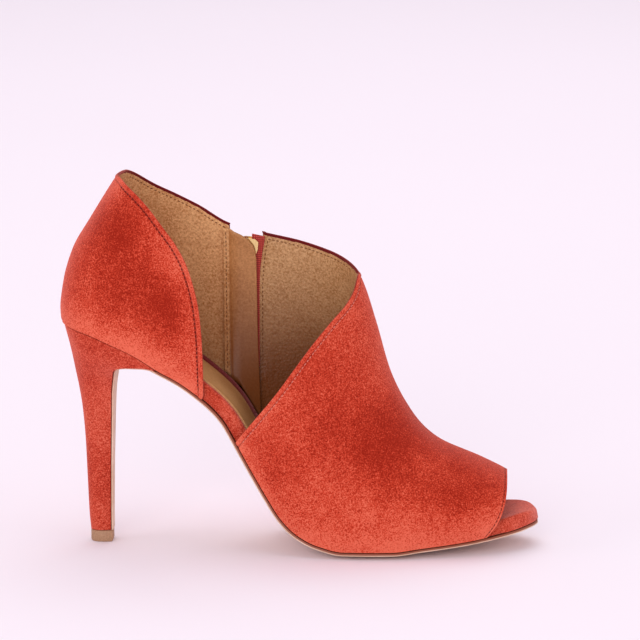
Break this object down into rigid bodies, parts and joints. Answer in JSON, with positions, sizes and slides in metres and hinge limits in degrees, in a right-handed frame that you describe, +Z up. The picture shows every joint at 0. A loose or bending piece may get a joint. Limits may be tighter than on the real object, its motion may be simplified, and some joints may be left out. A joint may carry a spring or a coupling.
{
  "type": "peep toe ankle boot",
  "caption": "Stiletto ankle boot with an open toe, a cut-out outer side, a covered heel and a zip on the inner side.",
  "frame": {"origin": "on the floor under the middle of the boot's bounding box", "axes": "+X from the heel to the toe, +Y to the inner side with the zip, +Z up"},
  "size_m": [0.2176, 0.0754, 0.1696],
  "materials": {
    "coral_suede": "napped suede, matt",
    "tan_lining_leather": "fine grain, half matt",
    "sole_leather": "smooth, half matt",
    "heel_rubber": "matt",
    "zip_tape": "woven",
    "zip_nylon": "coil",
    "gilt_zinc": "polished"
  },
  "bodies": {
    "boot": {"upper": "coral_suede", "footbed": "coral_suede", "sock_lining": "tan_lining_leather", "outsole": "sole_leather", "heel": "coral_suede", "top_piece": "heel_rubber", "zip_tape_rear": "zip_tape", "zip_tape_front": "zip_tape", "zip_chain": "zip_nylon", "zip_guard": "tan_lining_leather", "zip_slider": "gilt_zinc"},
    "pull": {"zip_pull_tab": "gilt_zinc"}
  },
  "joints": [
    {"name": "pull_tab_swing", "type": "hinge", "parent": "boot", "child": "pull", "pos_m": [-0.02452, 0.03071, 0.13138], "axis": [0.9951, -0.0557, -0.0818], "range_deg": [0, 150]}
  ]
}
